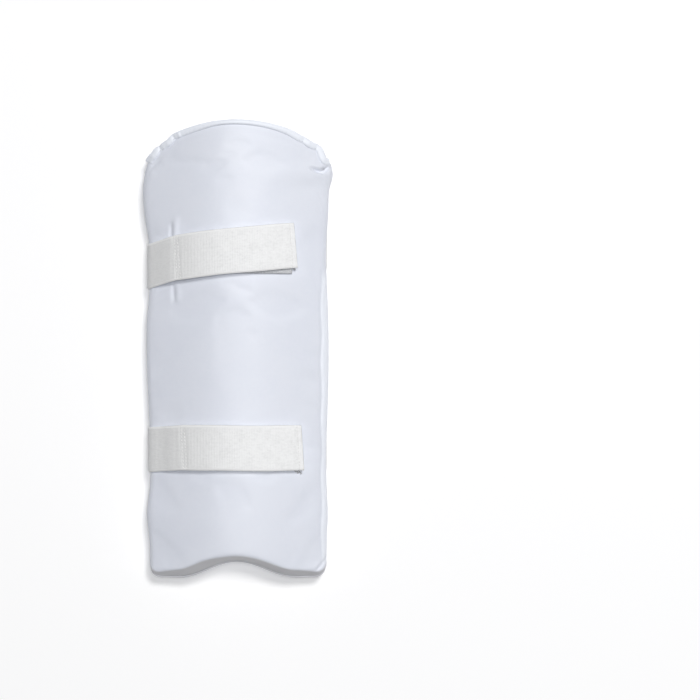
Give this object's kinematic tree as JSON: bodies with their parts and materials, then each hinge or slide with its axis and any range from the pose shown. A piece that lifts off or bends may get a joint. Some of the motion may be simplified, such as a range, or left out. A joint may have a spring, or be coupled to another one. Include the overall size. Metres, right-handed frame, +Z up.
{
  "type": "cricket arm guard",
  "caption": "Curved padded forearm guard in a smooth white sleeve, arched at the elbow end and notched at the wrist, with elastic straps and hook-and-loop closures.",
  "frame": {"origin": "on the surface the guard lies on, under the middle of its bounding box", "axes": "+Z up through the outer face, +Y along the guard towards the arched elbow end, +X to the side where the straps are sewn in"},
  "size_m": [0.1054, 0.254, 0.0363],
  "materials": {
    "sleeve_knit": "smooth fine knit, faint sheen, cool white",
    "hem_knit": "folded knit band, stitched, cool white",
    "elastic_weave": "ribbed woven elastic, matte, neutral white",
    "hook_tape": "moulded nylon hooks on woven tape, white",
    "loop_tape": "brushed loop pile, white"
  },
  "bodies": {
    "root": {"front_panel": "sleeve_knit", "back_panel": "sleeve_knit", "top_hem": "hem_knit", "upper_strap": "elastic_weave", "upper_hook_patch": "hook_tape", "upper_loop_patch": "loop_tape", "lower_strap": "elastic_weave", "lower_hook_patch": "hook_tape", "lower_loop_patch": "loop_tape"}
  },
  "joints": []
}
